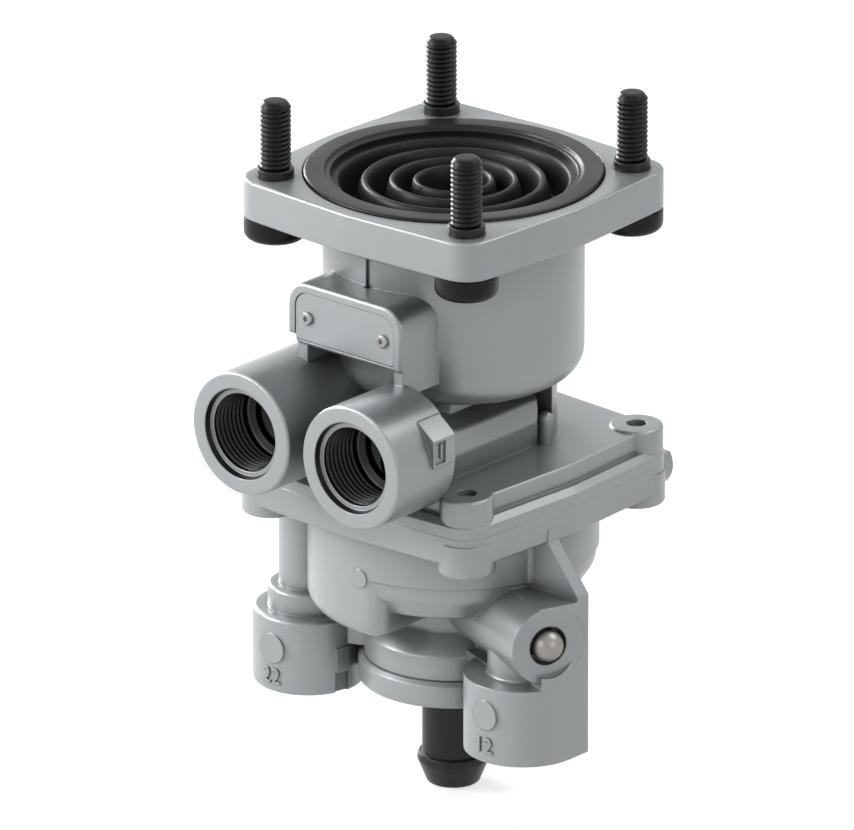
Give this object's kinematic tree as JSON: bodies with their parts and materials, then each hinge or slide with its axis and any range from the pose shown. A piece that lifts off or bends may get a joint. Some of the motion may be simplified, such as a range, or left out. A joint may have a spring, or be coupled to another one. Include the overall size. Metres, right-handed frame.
{
  "type": "truck foot brake valve",
  "caption": "Cast two-circuit foot brake valve with a sprung plunger under a rubber boot, screws that stand up for the pedal plate, threaded air ports and an exhaust nozzle.",
  "frame": {"origin": "centre of the top flange's upper face, which meets the pedal's bracket", "axes": "+Z along the plunger's axis, the way the screws stand; the level ports look along -Y; the ball plug is on +X"},
  "size_m": [0.1018, 0.1032, 0.1833],
  "materials": {
    "cast_aluminium": "blasted casting, satin",
    "plate_aluminium": "rolled, fine satin",
    "turned_aluminium": "turned",
    "black_rubber": "matt, moulded",
    "seal_rubber": "smooth",
    "black_plastic": "moulded",
    "black_steel": "black oxide",
    "zinc_steel": "zinc plated",
    "bright_steel": "ground",
    "spring_steel": "drawn wire",
    "turned_brass": "turned"
  },
  "bodies": {
    "housing": {"upper_body": "cast_aluminium", "lower_body": "cast_aluminium", "rubber_boot": "black_rubber", "boot_retaining_ring": "black_plastic", "mounting_screws": "black_steel", "screw_collars": "black_plastic", "body_screws": "zinc_steel", "type_plate": "plate_aluminium", "plate_pins": "zinc_steel", "ball_plug": "bright_steel", "plunger_stop_ring": "spring_steel", "piston_return_spring": "spring_steel", "upper_valve_guide": "turned_aluminium", "upper_guide_ring": "spring_steel", "upper_valve_spring": "spring_steel", "body_seal": "seal_rubber", "lower_valve_guide": "turned_aluminium", "lower_guide_ring": "spring_steel", "lower_valve_spring": "spring_steel", "relay_return_spring": "spring_steel", "bottom_cap": "cast_aluminium", "bottom_cap_seal": "seal_rubber", "exhaust_nozzle": "black_plastic"},
    "plunger": {"plunger": "turned_aluminium"},
    "primary_piston": {"primary_piston": "turned_aluminium", "primary_piston_seal": "seal_rubber", "graduating_spring": "spring_steel"},
    "upper_valve": {"upper_valve": "turned_brass", "upper_valve_facing": "seal_rubber"},
    "relay_piston": {"relay_piston": "turned_aluminium", "relay_piston_seal": "seal_rubber"},
    "lower_valve": {"lower_valve": "turned_brass", "lower_valve_facing": "seal_rubber"}
  },
  "joints": [
    {"name": "plunger_slide", "type": "slide", "parent": "housing", "child": "plunger", "axis": [0, 0, -1], "range_m": [0, 0.011], "stiffness_N_per_m": 2500, "springref_m": -0.012, "deforming": ["rubber_boot", "graduating_spring"]},
    {"name": "primary_piston_slide", "type": "slide", "parent": "housing", "child": "primary_piston", "axis": [0, 0, -1], "range_m": [0, 0.003], "deforming": ["piston_return_spring"]},
    {"name": "upper_valve_slide", "type": "slide", "parent": "housing", "child": "upper_valve", "axis": [0, 0, -1], "range_m": [0, 0.001], "deforming": ["upper_valve_spring"]},
    {"name": "relay_piston_slide", "type": "slide", "parent": "housing", "child": "relay_piston", "axis": [0, 0, -1], "range_m": [0, 0.003], "deforming": ["relay_return_spring"]},
    {"name": "lower_valve_slide", "type": "slide", "parent": "housing", "child": "lower_valve", "axis": [0, 0, -1], "range_m": [0, 0.001], "deforming": ["lower_valve_spring"]}
  ],
  "couplings": [
    {"joint": "primary_piston_slide", "follows": "plunger_slide", "ratio": 0.27273},
    {"joint": "upper_valve_slide", "follows": "plunger_slide", "ratio": 0.090909},
    {"joint": "relay_piston_slide", "follows": "plunger_slide", "ratio": 0.27273},
    {"joint": "lower_valve_slide", "follows": "plunger_slide", "ratio": 0.090909}
  ]
}
